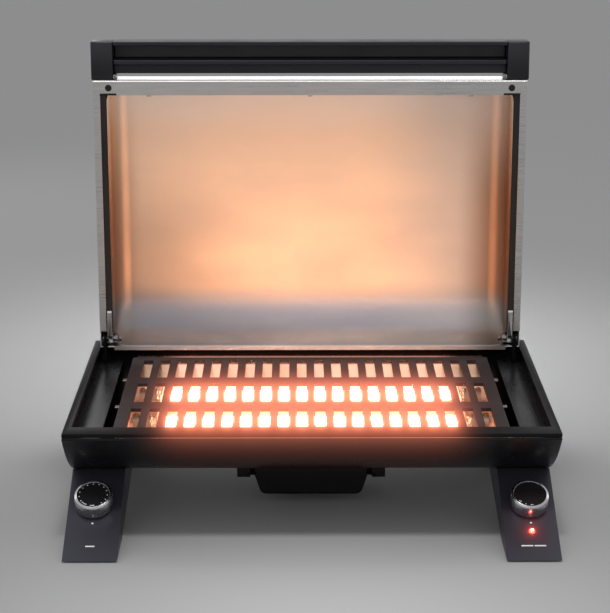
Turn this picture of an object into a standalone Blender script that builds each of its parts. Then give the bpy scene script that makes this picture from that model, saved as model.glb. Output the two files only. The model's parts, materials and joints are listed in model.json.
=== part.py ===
"""Infrared electric table grill with a flip-up lid, shown with the lid open.

Metres, +Z up. The origin is on the table under the middle of the body: +X is to the
cook's right and -Y points at the cook. Lengths called "back" are measured backwards
from the body's front edge, and lengths called "up" from the rim's top face.
"""

from math import asin, atan2, cos, hypot, pi, radians, sin, sqrt

import bmesh
import bpy
from mathutils import Matrix, Vector

# ---------------------------------------------------------------- driving dimensions
BODY_WIDTH = 0.590
BODY_DEPTH = 0.374
RIM_HEIGHT = 0.147
TROUGH_SAG = 0.090
TROUGH_LIP = 0.008
SHEET = 0.0015
END_SHEET = 0.002
RIM_THICK = 0.005
GAP = 0.0003

RIM_SIDE = 0.010
RIM_FRONT = 0.025
RIM_REAR = 0.0150

FOOT_PAD = 0.002
LEG_INNER = 0.230
LEG_TOE = 0.039
LEG_HEEL = 0.0255
LEG_WALL = 0.0025
KNOB_X = 0.2635
KNOB_UP_FACE = 0.0877
KNOB_R = 0.0232
KNOB_TALL = 0.020
BUSH_R = 0.0060
LAMP_UP_FACE = 0.0461
LAMP_R = 0.0035

GRATE_HALF = 0.240
GRATE_FRONT = 0.040
GRATE_TOP = -0.012
GRATE_THICK = 0.005
SLOT_COLUMNS = 20
SLOT_PITCH = 0.0229
SLOT_WIDE = 0.0127
SLOT_ROWS = ((0.054, 0.126), (0.150, 0.224), (0.248, 0.320))

TUBE_SPREAD = 0.050
TUBE_UP = -0.033
TUBE_R = 0.006
GLOW_HALF = 0.187

LID_WIDTH = 0.568
LID_REACH = 0.3512
LID_BEHIND = 0.0109
LID_LIFT = 0.0105
LID_CROWN = 0.0665
LID_WALL = 0.0615
LID_OPEN = radians(92)
HINGE_BACK = 0.345
HINGE_UP = 0.012
LINER_HALF = 0.2668
LINER_REAR = 0.0041
LIP_BEHIND = 0.0144
HANDLE_WIDTH = 0.572
HANDLE_OUT = 0.0501

# ---------------------------------------------------------------- derived places
HALF_W = BODY_WIDTH / 2
FRONT_Y = -BODY_DEPTH / 2
TROUGH_R = ((BODY_DEPTH / 2) ** 2 + TROUGH_SAG**2) / (2 * TROUGH_SAG)
TROUGH_CENTRE_UP = TROUGH_R - TROUGH_SAG - TROUGH_LIP
LEG_SOLE = FOOT_PAD - RIM_HEIGHT
MIDDLE = BODY_DEPTH / 2

PALETTE = {
    "enamel": ((0.015, 0.015, 0.017), 0.28, 0.0),
    "leg_paint": ((0.035, 0.036, 0.042), 0.45, 0.0),
    "steel": ((0.62, 0.60, 0.57), 0.32, 1.0),
    "cast": ((0.05, 0.045, 0.045), 0.6, 0.3),
    "plastic": ((0.03, 0.03, 0.033), 0.5, 0.0),
    "rubber": ((0.02, 0.02, 0.02), 0.8, 0.0),
    "ceramic": ((0.85, 0.80, 0.68), 0.6, 0.0),
    "quartz": ((0.95, 0.75, 0.55), 0.1, 0.0),
    "filament": ((1.0, 0.45, 0.12), 0.5, 0.0),
    "knob_metal": ((0.55, 0.55, 0.56), 0.25, 1.0),
    "lamp": ((0.8, 0.05, 0.03), 0.2, 0.0),
    "brass": ((0.75, 0.58, 0.28), 0.35, 1.0),
}


# ---------------------------------------------------------------- making objects
def clear_scene():
    for old in list(bpy.data.objects):
        bpy.data.objects.remove(old, do_unlink=True)


def material(slot):
    found = bpy.data.materials.get(slot)
    if found:
        return found
    colour, roughness, metallic = PALETTE[slot]
    made = bpy.data.materials.new(slot)
    made.use_nodes = True
    shader = made.node_tree.nodes["Principled BSDF"]
    shader.inputs["Base Color"].default_value = (*colour, 1.0)
    shader.inputs["Roughness"].default_value = roughness
    shader.inputs["Metallic"].default_value = metallic
    return made


def finish(name, bm, slot, parent=None, smooth_below=35):
    """Turns a bmesh into a named object with its material, its faces pointing out."""
    bmesh.ops.recalc_face_normals(bm, faces=bm.faces)
    mesh = bpy.data.meshes.new(name)
    bm.to_mesh(mesh)
    bm.free()
    mesh.shade_smooth()
    mesh.set_sharp_from_angle(angle=radians(smooth_below))
    mesh.materials.append(material(slot))
    obj = bpy.data.objects.new(name, mesh)
    bpy.context.scene.collection.objects.link(obj)
    if parent:
        obj.parent = parent
    return obj


def empty(name, place, turn=Matrix.Identity(3)):
    holder = bpy.data.objects.new(name, None)
    holder.matrix_world = Matrix.Translation(place) @ turn.to_4x4()
    bpy.context.scene.collection.objects.link(holder)
    return holder


def cut(obj, cutter):
    """Takes the cutter away from the object with a Boolean that stays on it."""
    cutter.hide_render = True
    cutter.display_type = "WIRE"
    step = obj.modifiers.new("cut_" + cutter.name, "BOOLEAN")
    step.operation = "DIFFERENCE"
    step.solver = "EXACT"
    step.object = cutter


def join(obj, other):
    """Unites another solid with the object, with a Boolean that stays on it."""
    other.hide_render = True
    other.display_type = "WIRE"
    step = obj.modifiers.new("join_" + other.name, "BOOLEAN")
    step.operation = "UNION"
    step.solver = "EXACT"
    step.object = other


def bevel(obj, width, segments=2, angle=35):
    step = obj.modifiers.new("edges", "BEVEL")
    step.width = width
    step.segments = segments
    step.limit_method = "ANGLE"
    step.angle_limit = radians(angle)


# ---------------------------------------------------------------- outlines
def at(back, up):
    """A place in the side view, as world (y, z), from the front edge and rim's top."""
    return (FRONT_Y + back, RIM_HEIGHT + up)


def mirrored(outline):
    return [(-y, z) for y, z in reversed(outline)]


def arc(centre, radius, start, end, steps):
    """Points round a centre, angles in radians."""
    turns = [start + (end - start) * i / steps for i in range(steps + 1)]
    return [(centre[0] + radius * cos(t), centre[1] + radius * sin(t)) for t in turns]


def offset_line(line, distance):
    """The line moved sideways by distance, to its left, with mitred corners."""
    moved = []
    for i, (y, z) in enumerate(line):
        before = line[max(i - 1, 0)]
        after = line[min(i + 1, len(line) - 1)]
        normals = []
        for a, b in ((before, (y, z)), ((y, z), after)):
            length = hypot(b[0] - a[0], b[1] - a[1])
            if length > 0:
                normals.append((-(b[1] - a[1]) / length, (b[0] - a[0]) / length))
        ny = sum(n[0] for n in normals) / len(normals)
        nz = sum(n[1] for n in normals) / len(normals)
        scale = distance / (ny * ny + nz * nz)
        moved.append((y + ny * scale, z + nz * scale))
    return moved


# ---------------------------------------------------------------- solids
def prism_mesh(outline, low, high):
    """A (y, z) outline run along X from low to high."""
    bm = bmesh.new()
    ends = [[bm.verts.new((x, y, z)) for y, z in outline] for x in (low, high)]
    count = len(outline)
    bm.faces.new(ends[0])
    bm.faces.new(list(reversed(ends[1])))
    for i in range(count):
        j = (i + 1) % count
        bm.faces.new((ends[0][i], ends[1][i], ends[1][j], ends[0][j]))
    return bm


def prism(name, outline, low, high, slot, parent=None):
    return finish(name, prism_mesh(outline, low, high), slot, parent)


def add_block(bm, low, high):
    """Adds a box between two corners to a bmesh."""
    size = [h - l for l, h in zip(low, high)]
    middle = [(h + l) / 2 for l, h in zip(low, high)]
    place = Matrix.Translation(middle) @ Matrix.Diagonal((*size, 1.0))
    bmesh.ops.create_cube(bm, size=1.0, matrix=place)


def block(name, low, high, slot, parent=None):
    bm = bmesh.new()
    add_block(bm, low, high)
    return finish(name, bm, slot, parent)


def add_lathe(bm, profile, segments, place=Matrix.Identity(4)):
    """Adds a closed (radius, height) profile turned about local Z.

    A point at radius 0 becomes one vertex on the axis.
    """
    rings = []
    for radius, height in profile:
        if radius == 0:
            rings.append([bm.verts.new(place @ Vector((0, 0, height)))] * segments)
            continue
        turns = [2 * pi * k / segments for k in range(segments)]
        corners = [Vector((radius * cos(t), radius * sin(t), height)) for t in turns]
        rings.append([bm.verts.new(place @ corner) for corner in corners])
    closed = all(radius > 0 for radius, _ in profile)
    pairs = list(zip(rings, rings[1:] + (rings[:1] if closed else [])))
    for a, b in pairs[: len(rings) if closed else len(rings) - 1]:
        for k in range(segments):
            n = (k + 1) % segments
            corners = [a[k], a[n], b[n], b[k]]
            unique = [c for i, c in enumerate(corners) if c not in corners[:i]]
            bm.faces.new(unique)


def rod(radius, low, high):
    """A plain round bar's profile for add_lathe."""
    return [(0, low), (radius, low), (radius, high), (0, high)]


def pipe(outer, inner, low, high):
    """An open-ended pipe's profile for add_lathe."""
    return [(inner, low), (outer, low), (outer, high), (inner, high)]


def along_x(x, y, z):
    """A frame whose Z runs along world +X from a point."""
    return Matrix.Translation((x, y, z)) @ Matrix.Rotation(pi / 2, 4, "Y")


def lathe(name, profile, segments, slot, place=Matrix.Identity(4), parent=None):
    bm = bmesh.new()
    add_lathe(bm, profile, segments, place)
    return finish(name, bm, slot, parent)


def plate_mesh(outline, holes, low, high):
    """A flat plate in XY with holes, from height low to high."""
    bm = bmesh.new()
    edges = []
    for loop in [outline] + holes:
        corners = [bm.verts.new((x, y, low)) for x, y in loop]
        for i, corner in enumerate(corners):
            edges.append(bm.edges.new((corner, corners[(i + 1) % len(corners)])))
    bmesh.ops.triangle_fill(bm, edges=edges, use_beauty=True)
    bmesh.ops.recalc_face_normals(bm, faces=bm.faces)
    grown = bmesh.ops.extrude_face_region(bm, geom=bm.faces[:])
    moved = [item for item in grown["geom"] if isinstance(item, bmesh.types.BMVert)]
    bmesh.ops.translate(bm, verts=moved, vec=(0, 0, high - low))
    return bm


def rectangle(x0, y0, x1, y1):
    return [(x0, y0), (x1, y0), (x1, y1), (x0, y1)]


# ---------------------------------------------------------------- body shell
def trough_up(back, clear=0.0):
    """Height of the trough's outer skin at a distance back, less a clearance."""
    radius = TROUGH_R + clear
    return TROUGH_CENTRE_UP - sqrt(radius**2 - (back - MIDDLE) ** 2)


def trough_line(steps=28):
    """The trough's outer skin in the side view, front top to rear top."""
    reach = asin(MIDDLE / TROUGH_R)
    centre = at(MIDDLE, TROUGH_CENTRE_UP)
    curve = arc(centre, TROUGH_R, -pi / 2 - reach, -pi / 2 + reach, steps)
    top = -RIM_THICK - GAP
    return [at(0, top)] + curve + [at(BODY_DEPTH, top)]


def make_tub():
    """Pressed trough with closed ends, open at the top, with a drain under the tray."""
    tub = prism("tub_shell", trough_line(), -HALF_W, HALF_W, "enamel")
    inside = offset_line(trough_line(), SHEET)
    above = [(inside[-1][0], RIM_HEIGHT + 0.01), (inside[0][0], RIM_HEIGHT + 0.01)]
    inner = HALF_W - END_SHEET
    cut(tub, prism("tub_cutter", inside + above, -inner, inner, "enamel"))
    drain = block("drain_cutter", (-0.025, -0.015, 0.03), (0.025, 0.015, 0.07), "steel")
    cut(tub, drain)


def make_rim():
    outline = rectangle(-HALF_W, FRONT_Y, HALF_W, FRONT_Y + BODY_DEPTH)
    hole = rectangle(
        -HALF_W + RIM_SIDE,
        FRONT_Y + RIM_FRONT,
        HALF_W - RIM_SIDE,
        FRONT_Y + BODY_DEPTH - RIM_REAR,
    )
    bm = plate_mesh(outline, [hole], RIM_HEIGHT - RIM_THICK, RIM_HEIGHT)
    rim = finish("rim_frame", bm, "enamel")
    bevel(rim, 0.001)


def make_side_panels():
    """Flat plates that fill the trough's ends beside the grate."""
    up = -0.022
    for side, sign in (("left", -1), ("right", 1)):
        low, high = sorted((sign * 0.255, sign * (HALF_W - END_SHEET - 2 * GAP)))
        y0, z1 = at(0.017, up)
        y1 = at(BODY_DEPTH - 0.017, up)[0]
        block("side_panel_" + side, (low, y0, z1 - SHEET), (high, y1, z1), "enamel")


# ---------------------------------------------------------------- grate and heaters
def make_grate():
    y0 = FRONT_Y + GRATE_FRONT
    y1 = FRONT_Y + BODY_DEPTH - GRATE_FRONT
    holes = []
    for near, far in SLOT_ROWS:
        for column in range(SLOT_COLUMNS):
            middle = (column - (SLOT_COLUMNS - 1) / 2) * SLOT_PITCH
            holes.append(
                rectangle(
                    middle - SLOT_WIDE / 2,
                    FRONT_Y + near,
                    middle + SLOT_WIDE / 2,
                    FRONT_Y + far,
                )
            )
    top = RIM_HEIGHT + GRATE_TOP
    outline = rectangle(-GRATE_HALF, y0, GRATE_HALF, y1)
    bm = plate_mesh(outline, holes, top - GRATE_THICK, top)
    finish("cooking_grate", bm, "cast")


PAN_FLOOR = -0.060
PAN_TOP = GRATE_TOP - GRATE_THICK - GAP
PAN_LIP = 0.0116
PAN_SHEET = 0.0012
PAN_HALF = 0.236


def pan_outline(drop, lip):
    """The reflector's side view, lowered by drop, its flanges reaching lip back."""
    front = [at(lip, PAN_TOP - drop), at(0.056, PAN_TOP - drop), at(0.092, PAN_FLOOR - drop)]
    return front + mirrored(front)


def make_reflector():
    lower = pan_outline(PAN_SHEET, PAN_LIP)
    upper = [at(PAN_LIP, PAN_TOP), at(BODY_DEPTH - PAN_LIP, PAN_TOP)]
    outline = lower + list(reversed(upper))
    pan = prism("reflector_pan", outline, -PAN_HALF, PAN_HALF, "steel")
    well = pan_outline(0.0, PAN_LIP)[1:-1]
    above = [at(BODY_DEPTH - 0.056, PAN_TOP + 0.01), at(0.056, PAN_TOP + 0.01)]
    inner = PAN_HALF - PAN_SHEET
    cut(pan, prism("pan_cutter", well + above, -inner, inner, "steel"))
    drain = block("pan_drain_cutter", (-0.02, -0.01, 0.07), (0.02, 0.01, 0.10), "steel")
    cut(pan, drain)


def heater_places():
    """The two heater tubes' axes, as (name, y, z)."""
    places = []
    for name, back in (("front", MIDDLE - TUBE_SPREAD), ("rear", MIDDLE + TUBE_SPREAD)):
        y, z = at(back, TUBE_UP)
        places.append((name, y, z))
    return places


def make_heaters():
    tube_half = 0.200
    cap_end = 0.223
    for name, y, z in heater_places():
        place = along_x(0, y, z)
        profile = pipe(TUBE_R, TUBE_R - 0.0012, -tube_half, tube_half)
        lathe("quartz_tube_" + name, profile, 16, "quartz", place)
        lathe("filament_" + name, rod(0.0027, -GLOW_HALF, GLOW_HALF), 10, "filament", place)
        for side, sign in (("left", -1), ("right", 1)):
            inner, outer = sorted((sign * (tube_half + GAP), sign * cap_end))
            cap = rod(0.0085, inner, outer)
            lathe("ceramic_cap_" + name + "_" + side, cap, 12, "ceramic", place)
    for side, sign in (("left", -1), ("right", 1)):
        make_bracket(side, sign)


def make_bracket(side, sign):
    """Upright plate standing on the reflector that carries both tubes."""
    front, up = heater_places()[0][1:]
    rear = heater_places()[1][1]
    foot = RIM_HEIGHT + PAN_FLOOR + GAP
    outline = rectangle(front - 0.012, foot, rear + 0.012, up + 0.012)
    holes = []
    for middle in (front, rear):
        holes.append(arc((middle, up), TUBE_R + GAP, 0, 2 * pi * 15 / 16, 15))
    low, high = sorted((sign * 0.192, sign * 0.1935))
    bm = plate_mesh(outline, holes, low, high)
    turn = Matrix(((0, 0, 1), (1, 0, 0), (0, 1, 0))).to_4x4()
    bmesh.ops.transform(bm, matrix=turn, verts=bm.verts)
    finish("heater_bracket_" + side, bm, "steel")


def make_wiring():
    """Terminal block and thermal cut-out under the right side panel."""
    y, z = at(MIDDLE, -0.0942)
    block("terminal_block", (0.245, y - 0.03, z), (0.275, y + 0.01, z + 0.018), "ceramic")
    place = Matrix.Translation((0.262, y + 0.034, z + 0.0020))
    lathe("thermal_cutout", rod(0.008, 0, 0.006), 14, "brass", place)


def make_inlet():
    """Appliance inlet on the trough's rear skin, right of the middle."""
    y0, z0 = at(0.338, -0.070)
    y1, z1 = at(0.3795, -0.030)
    inlet = block("power_inlet", (0.150, y0, z0), (0.190, y1, z1), "plastic")
    mouth_low = (0.157, y1 - 0.012, z0 + 0.008)
    socket = block("socket_cutter", mouth_low, (0.183, y1 + 0.01, z1 - 0.014), "plastic")
    cut(inlet, socket)
    reach = TROUGH_R + GAP
    centre = at(MIDDLE, TROUGH_CENTRE_UP)
    place = along_x(0.170, *centre)
    skin = lathe("skin_cutter", rod(reach, -0.03, 0.03), 96, "plastic", place)
    cut(inlet, skin)


# ---------------------------------------------------------------- legs
def leg_outline():
    """Side view of a front leg: control face, sole, arched underside, saddle."""
    saddle_front = 0.093
    count = 8
    saddle = []
    for i in range(count + 1):
        back = (MIDDLE - GAP) + (saddle_front - MIDDLE + GAP) * i / count
        saddle.append(at(back, trough_up(back, GAP)))
    underside = [at(-LEG_TOE, LEG_SOLE), at(LEG_HEEL, LEG_SOLE), at(MIDDLE - GAP, -0.1085)]
    return underside + saddle


def face_frame(x, up_face, out=0.0):
    """A frame on the control face: Z points out of it and Y up along it."""
    toe = Vector((0, *at(-LEG_TOE, LEG_SOLE)))
    top = Vector((0, *at(0.093, trough_up(0.093, GAP))))
    along = (top - toe).normalized()
    across = Vector((1, 0, 0))
    normal = across.cross(along)
    place = toe + along * up_face + normal * out + across * x
    turn = Matrix((across, along, normal)).transposed()
    return place, turn


def face_matrix(x, up_face, out=0.0):
    place, turn = face_frame(x, up_face, out)
    return Matrix.Translation(place) @ turn.to_4x4()


def make_leg(end, side, sign, flip):
    """One hollow leg, its hollow closed from below by a cover let into its window."""
    name = end + "_" + side
    low, high = sorted((sign * LEG_INNER, sign * HALF_W))
    leg = prism("leg_" + name, flip(leg_outline()), low, high, "leg_paint")

    hollow = [
        at(-0.004, LEG_SOLE + 0.0145),
        at(0.030, LEG_SOLE + 0.0045),
        at(0.128, LEG_SOLE + 0.0272),
        at(0.128, -0.092),
        at(0.084, -0.0855),
    ]
    inner = (low + LEG_WALL, high - LEG_WALL)
    cut(leg, prism("hollow_" + name, flip(hollow), *inner, "leg_paint"))

    window = [at(0.036, LEG_SOLE - 0.01), at(0.120, LEG_SOLE + 0.01)]
    window += [at(0.120, LEG_SOLE + 0.035), at(0.036, LEG_SOLE + 0.012)]
    mouth = (low + 0.010, high - 0.010)
    cut(leg, prism("window_" + name, flip(window), *mouth, "leg_paint"))

    front = Vector(at(0.0365, LEG_SOLE + 0.0032))
    rear = Vector(at(0.1195, LEG_SOLE + 0.0223))
    rise = (rear - front).normalized()
    lift = Vector((-rise.y, rise.x)) * 0.002
    cover = [(p.x, p.y) for p in (front, rear, rear + lift, front + lift)]
    prism("leg_cover_" + name, flip(cover), mouth[0] + GAP, mouth[1] - GAP, "plastic")

    toe, heel = FRONT_Y - LEG_TOE + 0.006, FRONT_Y + LEG_HEEL - 0.004
    sole = flip([(toe, 0.0), (heel, 0.0), (heel, FOOT_PAD - GAP), (toe, FOOT_PAD - GAP)])
    prism("foot_pad_" + name, sole, low + 0.006, high - 0.006, "rubber")
    return leg


def make_legs():
    for side, sign in (("left", -1), ("right", 1)):
        leg = make_leg("front", side, sign, list)
        holes = bmesh.new()
        knob = face_matrix(sign * KNOB_X, KNOB_UP_FACE)
        add_lathe(holes, rod(BUSH_R + GAP, -0.02, 0.02), 20, knob)
        if side == "right":
            lamp = face_matrix(sign * KNOB_X, LAMP_UP_FACE)
            add_lathe(holes, rod(LAMP_R + GAP, -0.02, 0.02), 16, lamp)
        cut(leg, finish("face_holes_" + side, holes, "leg_paint"))
        make_leg("rear", side, sign, mirrored)


# ---------------------------------------------------------------- controls
def make_control(side, sign, owner):
    """One knob with its shaft, and the fixed body and bush that carry it."""
    place = face_matrix(sign * KNOB_X, KNOB_UP_FACE)
    hub = empty(owner + "_axis", *face_frame(sign * KNOB_X, KNOB_UP_FACE))
    bush = pipe(BUSH_R, 0.0034, -LEG_WALL - 0.002, 0.0016)
    lathe(owner + "_bush", bush, 20, "brass", place)
    case = bmesh.new()
    add_block(case, (-0.015, -0.013, -0.0245), (0.015, 0.013, -0.0052))
    bmesh.ops.transform(case, matrix=place, verts=case.verts)
    finish(owner + "_case", case, "plastic")

    ring = [
        (0.0206, 0.0012),
        (KNOB_R - 0.0008, 0.0012),
        (KNOB_R, 0.0022),
        (KNOB_R, KNOB_TALL - 0.0018),
        (KNOB_R - 0.0012, KNOB_TALL),
        (0.0206, KNOB_TALL),
    ]
    lathe(owner + "_knob_ring", ring, 48, "knob_metal", parent=hub)
    cap_r = 0.0206 - GAP
    cap = [
        (0.0033, 0.0022),
        (0.0075, 0.0022),
        (0.0075, KNOB_TALL - 0.0045),
        (cap_r, KNOB_TALL - 0.0045),
        (cap_r, KNOB_TALL - 0.0012),
        (0, KNOB_TALL - 0.0012),
        (0, KNOB_TALL - 0.0050),
        (0.0033, KNOB_TALL - 0.0050),
    ]
    bm = bmesh.new()
    add_capped(bm, cap, 48)
    finish(owner + "_knob_cap", bm, "plastic", hub)
    shaft = rod(0.0030, -0.0049, KNOB_TALL - 0.0053)
    lathe(owner + "_shaft", shaft, 16, "steel", parent=hub)


def add_capped(bm, profile, segments):
    """Turns a profile that touches the axis twice, in its middle, as one closed body."""
    split = [i for i, (radius, _) in enumerate(profile) if radius == 0]
    ordered = profile[split[1] :] + profile[: split[0] + 1]
    add_lathe(bm, ordered, segments)


def make_lamp():
    dome = [(0, -0.004), (LAMP_R, -0.004), (LAMP_R, 0.0004), (LAMP_R - 0.001, 0.0016)]
    dome += [(0, 0.002)]
    lathe("indicator_lamp", dome, 16, "lamp", face_matrix(KNOB_X, LAMP_UP_FACE))


# ---------------------------------------------------------------- drip tray
TRAY_FRONT = 0.127
TRAY_BACK = 0.247
TRAY_TOP = -0.1005
TRAY_FLOOR = -0.1270
RAIL_FOOT = -0.1045
TRAY_HALF_TOP = 0.071
TRAY_HALF_FLOOR = 0.063


def tray_section(half_top, half_floor, top, floor, corner):
    """Front view of the tray: a shallow scoop with round lower corners, as (x, z).

    It runs from the top right, along the floor, to the top left.
    """
    lean = atan2(half_top - half_floor, top - floor)
    inset = corner * (1 - sin(lean)) / cos(lean)
    centre = (half_floor - inset, floor + corner)
    bend = arc(centre, corner, -lean, -pi / 2, 5)
    right = [(half_top, top)] + bend
    return right + [(-x, z) for x, z in reversed(right)]


def loft_y(name, section, y0, y1, slot, parent=None):
    """An (x, z) section run along Y."""
    bm = bmesh.new()
    ends = [[bm.verts.new((x, y, z)) for x, z in section] for y in (y0, y1)]
    bm.faces.new(ends[0])
    bm.faces.new(list(reversed(ends[1])))
    for i in range(len(section)):
        j = (i + 1) % len(section)
        bm.faces.new((ends[0][i], ends[1][i], ends[1][j], ends[0][j]))
    return finish(name, bm, slot, parent)


def make_tray():
    top = RIM_HEIGHT + TRAY_TOP
    floor = RIM_HEIGHT + TRAY_FLOOR
    y0 = FRONT_Y + TRAY_FRONT
    y1 = FRONT_Y + TRAY_BACK
    outer = tray_section(TRAY_HALF_TOP, TRAY_HALF_FLOOR, top - 0.0015, floor, 0.008)
    flange = [(-0.0795, top - 0.0015), (-0.0795, top), (0.0795, top), (0.0795, top - 0.0015)]
    tray = loft_y("drip_tray", outer + flange, y0 + 0.0010, y1, "enamel")
    brow = RIM_HEIGHT + trough_up(TRAY_FRONT, 0.0012)
    front = tray_section(TRAY_HALF_TOP, TRAY_HALF_FLOOR - 0.0001, brow, floor, 0.008)
    join(tray, loft_y("tray_front", front, y0, y0 + 0.0030, "enamel"))
    inner = (TRAY_HALF_TOP - 0.002, TRAY_HALF_FLOOR - 0.002)
    hollow = tray_section(*inner, top + 0.01, floor + 0.002, 0.007)
    cut(tray, loft_y("tray_cutter", hollow, y0 + 0.0030, y1 - 0.002, "enamel"))

    count = 8
    for side, sign in (("left", -1), ("right", 1)):
        saddle = []
        for i in range(count + 1):
            back = TRAY_BACK + (TRAY_FRONT - TRAY_BACK) * i / count
            saddle.append(at(back, trough_up(back, GAP)))
        outline = [at(TRAY_FRONT, RAIL_FOOT), at(TRAY_BACK, RAIL_FOOT)] + saddle
        low, high = sorted((sign * 0.0765, sign * 0.0933))
        rail = prism("tray_rail_" + side, outline, low, high, "enamel")
        ends = sorted((sign * 0.07, sign * 0.0805))
        slot_low = (ends[0], FRONT_Y + 0.10, top - 0.0019)
        slot_high = (ends[1], FRONT_Y + TRAY_BACK + 0.01, top + 0.0006)
        cut(rail, block("groove_cutter_" + side, slot_low, slot_high, "enamel"))


# ---------------------------------------------------------------- lid
def lid_line(inset=0.0, rear_out=0.0, steps=10):
    """Side view of the closed lid's skin about the hinge, front foot to rear foot.

    It lies an inset inside the lid, except at the rear, where it goes rear_out further.
    """
    front = -LID_REACH + inset
    rear = LID_BEHIND - inset + rear_out
    foot = -LID_LIFT
    wall = LID_WALL - inset
    crown = LID_CROWN - inset
    nose = 0.018 - inset * 0.5
    tail = 0.066 - inset
    skin = [(front, foot)]
    skin += arc((front + nose, foot + wall - nose), nose, pi, pi / 2, steps)
    span = (rear - tail) - (front + nose)
    bow = crown - wall
    for i in range(1, 8):
        share = i / 8
        skin.append((front + nose + span * share, foot + wall + 4 * bow * share * (1 - share)))
    turns = [pi / 2 * (1 - i / steps) for i in range(steps + 1)]
    skin += [(rear - tail + tail * cos(t), foot + wall * sin(t)) for t in turns]
    return skin


def hood(name, inset, rear_out, sheet, half, lid):
    """A domed box, open at its mouth, whose skin sits an inset inside the lid's."""
    foot = -LID_LIFT + 0.0015
    skin = [(y, max(z, foot)) for y, z in lid_line(inset, rear_out)]
    outer = prism(name, skin, -half, half, "steel", lid)
    hollow = lid_line(inset + sheet, rear_out)
    hollow = [(hollow[0][0], foot - 0.01)] + hollow + [(hollow[-1][0], foot - 0.01)]
    inner = half - sheet
    cut(outer, prism(name + "_cutter", hollow, -inner, inner, "steel", lid))
    return outer


def make_lid(lid):
    """Shell with slots for the hinge brackets, and liner with notches for the pin heads.

    A lip along the liner's rear foot covers the gap behind the grate when the lid is open.
    """
    half = LID_WIDTH / 2
    shell = hood("lid_shell", 0.0, 0.0, SHEET, half, lid)
    liner = hood("lid_liner", 0.006, LINER_REAR, 0.001, LINER_HALF, lid)
    for side, sign in (("left", -1), ("right", 1)):
        low, high = sorted((sign * (BRACKET_X[0] - 0.0012), sign * (BRACKET_X[1] + 0.0010)))
        rear = LID_BEHIND + 0.002
        slot = block("hinge_slot_" + side, (low, 0.002, -0.02), (high, rear, 0.0105), "steel", lid)
        cut(shell, slot)
        low, high = sorted((sign * (PIN_HEAD_X - 0.002), sign * (LINER_HALF + 0.0015)))
        reach = PIN_HEAD_R + 0.0029
        notch = block("pin_notch_" + side, (low, -reach, -0.02), (high, 0.0120, reach), "steel", lid)
        cut(liner, notch)
    reach = LINER_HALF - 0.0015
    lip = [
        (LID_BEHIND - 0.0034, -LID_LIFT + 0.0003),
        (LIP_BEHIND, -LID_LIFT + 0.0003),
        (LIP_BEHIND, -LID_LIFT + 0.0012),
        (LID_BEHIND - 0.0019, -LID_LIFT + 0.0012),
        (LID_BEHIND - 0.0019, -LID_LIFT + 0.0020),
        (LID_BEHIND - 0.0034, -LID_LIFT + 0.0020),
    ]
    join(liner, prism("liner_lip", lip, -reach, reach, "steel", lid))
    make_lid_frame(lid, half)


def make_lid_frame(lid, half):
    """Flat steel flange round the lid's mouth, open at the hinge end."""
    front = -LID_REACH
    side_end = -0.012
    width = 0.0090
    head = 0.0194
    outline = [
        (-half, front),
        (half, front),
        (half, side_end),
        (half - width, side_end),
        (half - width, front + head),
        (-half + width, front + head),
        (-half + width, side_end),
        (-half, side_end),
    ]
    top = -LID_LIFT + 0.0012
    bm = plate_mesh(outline, [], -LID_LIFT, top)
    frame = finish("lid_frame", bm, "steel", lid)
    for name, x in (("clip_left", -0.211), ("clip_middle", 0.0), ("clip_right", 0.211)):
        low = (x - 0.003, front + head - 0.0005, -LID_LIFT + 0.0002)
        clip = block(name, low, (x + 0.003, front + head + 0.002, -LID_LIFT + 0.004), "steel", lid)
        join(frame, clip)

    for side, sign in (("left", -1), ("right", 1)):
        place = Matrix.Translation((sign * 0.2639, front + 0.0100, 0))
        dome = [(0, -LID_LIFT - GAP), (0.0044, -LID_LIFT - GAP), (0.0040, -LID_LIFT - 0.0011)]
        dome += [(0, -LID_LIFT - 0.0013)]
        lathe("lid_bumper_" + side, dome, 18, "rubber", place, lid)


def make_handle(lid):
    """Full-width pull on the lid's front wall: a channel between two end blocks."""
    front = -LID_REACH - GAP
    tip = -LID_REACH - HANDLE_OUT
    base = -LID_LIFT + 0.0008
    tall = 0.058
    half = HANDLE_WIDTH / 2
    end_wide = 0.0286
    for side, sign in (("left", -1), ("right", 1)):
        low, high = sorted((sign * half, sign * (half - end_wide)))
        outline = [
            (front, base),
            (tip, base),
            (tip, base + tall * 0.55),
            (tip + 0.018, base + tall * 0.93),
            (front, base + tall),
        ]
        end = prism("handle_end_" + side, outline, low, high, "plastic", lid)
        bevel(end, 0.0012)
    reach = half - end_wide - GAP
    deep = base + 0.024
    channel = [
        (tip, base),
        (tip + 0.0055, base),
        (tip + 0.0065, deep),
        (tip + 0.0225, deep),
        (tip + 0.0245, base + 0.004),
        (tip + 0.0305, base + 0.004),
        (tip + 0.0310, base + 0.010),
        (tip + 0.0421, base + 0.010),
        (tip + 0.0423, base + 0.030),
        (tip + 0.0398, base + tall * 0.80),
        (tip + 0.018, base + tall * 0.93),
        (tip, base + tall * 0.55),
    ]
    bar = prism("handle_bar", channel, -reach, reach, "plastic", lid)
    bevel(bar, 0.0008, segments=1, angle=50)


# ---------------------------------------------------------------- hinges
ARM_X = (LINER_HALF + GAP, 0.2732)
BRACKET_X = (0.2755, 0.2795)
EYE_R = 0.007
PIN_R = 0.003
PIN_HEAD_R = 0.0066
PIN_HEAD_X = 0.2590
PIN_CAP_R = 0.0042
PIN_CAP_X = 0.2815


def round_hole(radius, low, high, place, name):
    return lathe(name, rod(radius, low, high), 20, "steel", place)


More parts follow.
